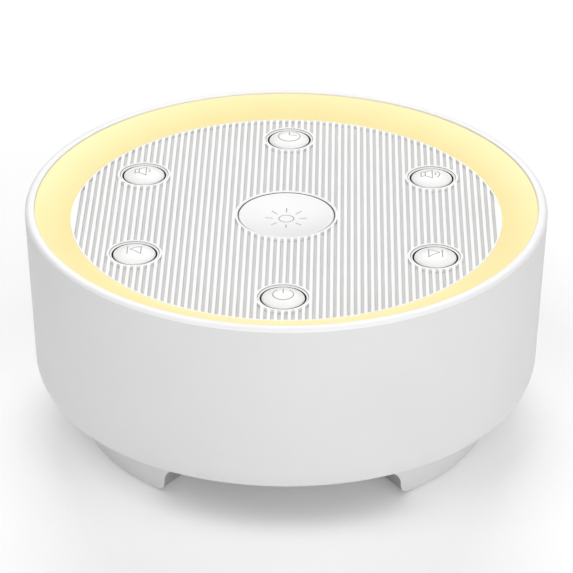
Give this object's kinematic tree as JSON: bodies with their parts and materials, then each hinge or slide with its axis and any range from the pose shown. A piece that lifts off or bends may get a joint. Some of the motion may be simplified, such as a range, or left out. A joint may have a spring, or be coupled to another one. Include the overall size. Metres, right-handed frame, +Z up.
{
  "type": "white noise sound machine",
  "caption": "Round tabletop sound machine with a sloping light ring, a ribbed top plate, domed push buttons round a dished centre button, and arch feet.",
  "frame": {"origin": "on the floor under the centre of the body", "axes": "+Z up, -Y towards the front with the power button, +X to the right seen from the front"},
  "size_m": [0.1052, 0.1052, 0.0479],
  "materials": {
    "white_abs": "satin white moulded plastic",
    "white_button": "smooth semi-gloss white caps",
    "warm_diffuser": "translucent warm diffuser, lit from inside",
    "white_tray": "matte reflector white",
    "white_board": "white solder mask",
    "green_board": "green solder mask",
    "led_yellow": "yellow phosphor lens",
    "black_plastic": "moulded black",
    "cream_nylon": "natural nylon",
    "can_aluminium": "drawn can",
    "grey_rubber": "soft matte",
    "black_cloth": "acoustic mesh",
    "black_foam": "closed-cell foam",
    "black_steel": "black coated pressed steel",
    "zinc_steel": "zinc plated",
    "ferrite": "sintered magnet",
    "black_paper": "pressed paper",
    "brown_former": "phenolic board",
    "copper": "enamelled winding",
    "tan_cloth": "resin treated cloth",
    "black_rubber": "butyl",
    "nickel": "nickel plated shell",
    "wire_insulation": "insulated wires",
    "screw_steel": "zinc plated"
  },
  "bodies": {
    "housing": {"housing_shell": "white_abs", "light_ring": "warm_diffuser", "top_plate": "white_abs", "light_tray": "white_tray", "led_board": "white_board", "leds": "led_yellow", "control_board": "green_board", "switch_bodies": "black_plastic", "processor_chip": "black_plastic", "amplifier_chip": "black_plastic", "memory_chip": "black_plastic", "capacitors": "can_aluminium", "board_plugs": "cream_nylon", "base_cover": "white_abs", "leg_ring": "white_abs", "foot_pads": "grey_rubber", "outlet_cloth": "black_cloth", "speaker_gasket": "black_foam", "speaker_basket": "black_steel", "front_washer": "zinc_steel", "speaker_magnet": "ferrite", "magnet_yoke": "zinc_steel", "spider": "tan_cloth", "surround": "black_rubber", "speaker_terminal": "brown_former", "usb_socket": "nickel", "inlet_board": "green_board", "speaker_lead": "wire_insulation", "power_lead": "wire_insulation", "led_lead": "wire_insulation", "cover_screws": "screw_steel", "tray_screws": "screw_steel", "board_screws": "screw_steel", "speaker_screws": "screw_steel", "inlet_screws": "screw_steel", "leg_screws": "screw_steel"},
    "power_key": {"power_button": "white_button", "power_plunger": "black_plastic"},
    "timer_key": {"timer_button": "white_button", "timer_plunger": "black_plastic"},
    "volume_up_key": {"volume_up_button": "white_button", "volume_up_plunger": "black_plastic"},
    "volume_down_key": {"volume_down_button": "white_button", "volume_down_plunger": "black_plastic"},
    "previous_key": {"previous_button": "white_button", "previous_plunger": "black_plastic"},
    "next_key": {"next_button": "white_button", "next_plunger": "black_plastic"},
    "light_key": {"light_button": "white_button", "light_plunger": "black_plastic"},
    "cone": {"speaker_cone": "black_paper", "dust_cap": "black_paper", "voice_coil_former": "brown_former", "voice_coil": "copper"}
  },
  "joints": [
    {"name": "power_press", "type": "slide", "parent": "housing", "child": "power_key", "axis": [0, 0, -1], "range_m": [0, 0.0008], "stiffness_N_per_m": 1500, "springref_m": -0.0005},
    {"name": "timer_press", "type": "slide", "parent": "housing", "child": "timer_key", "axis": [0, 0, -1], "range_m": [0, 0.0008], "stiffness_N_per_m": 1500, "springref_m": -0.0005},
    {"name": "volume_up_press", "type": "slide", "parent": "housing", "child": "volume_up_key", "axis": [0, 0, -1], "range_m": [0, 0.0008], "stiffness_N_per_m": 1500, "springref_m": -0.0005},
    {"name": "volume_down_press", "type": "slide", "parent": "housing", "child": "volume_down_key", "axis": [0, 0, -1], "range_m": [0, 0.0008], "stiffness_N_per_m": 1500, "springref_m": -0.0005},
    {"name": "previous_press", "type": "slide", "parent": "housing", "child": "previous_key", "axis": [0, 0, -1], "range_m": [0, 0.0008], "stiffness_N_per_m": 1500, "springref_m": -0.0005},
    {"name": "next_press", "type": "slide", "parent": "housing", "child": "next_key", "axis": [0, 0, -1], "range_m": [0, 0.0008], "stiffness_N_per_m": 1500, "springref_m": -0.0005},
    {"name": "light_press", "type": "slide", "parent": "housing", "child": "light_key", "axis": [0, 0, -1], "range_m": [0, 0.0008], "stiffness_N_per_m": 1500, "springref_m": -0.0005},
    {"name": "cone_travel", "type": "slide", "parent": "housing", "child": "cone", "axis": [0, 0, 1], "range_m": [-0.0008, 0.0008], "stiffness_N_per_m": 1800, "deforming": ["surround", "spider"]}
  ]
}
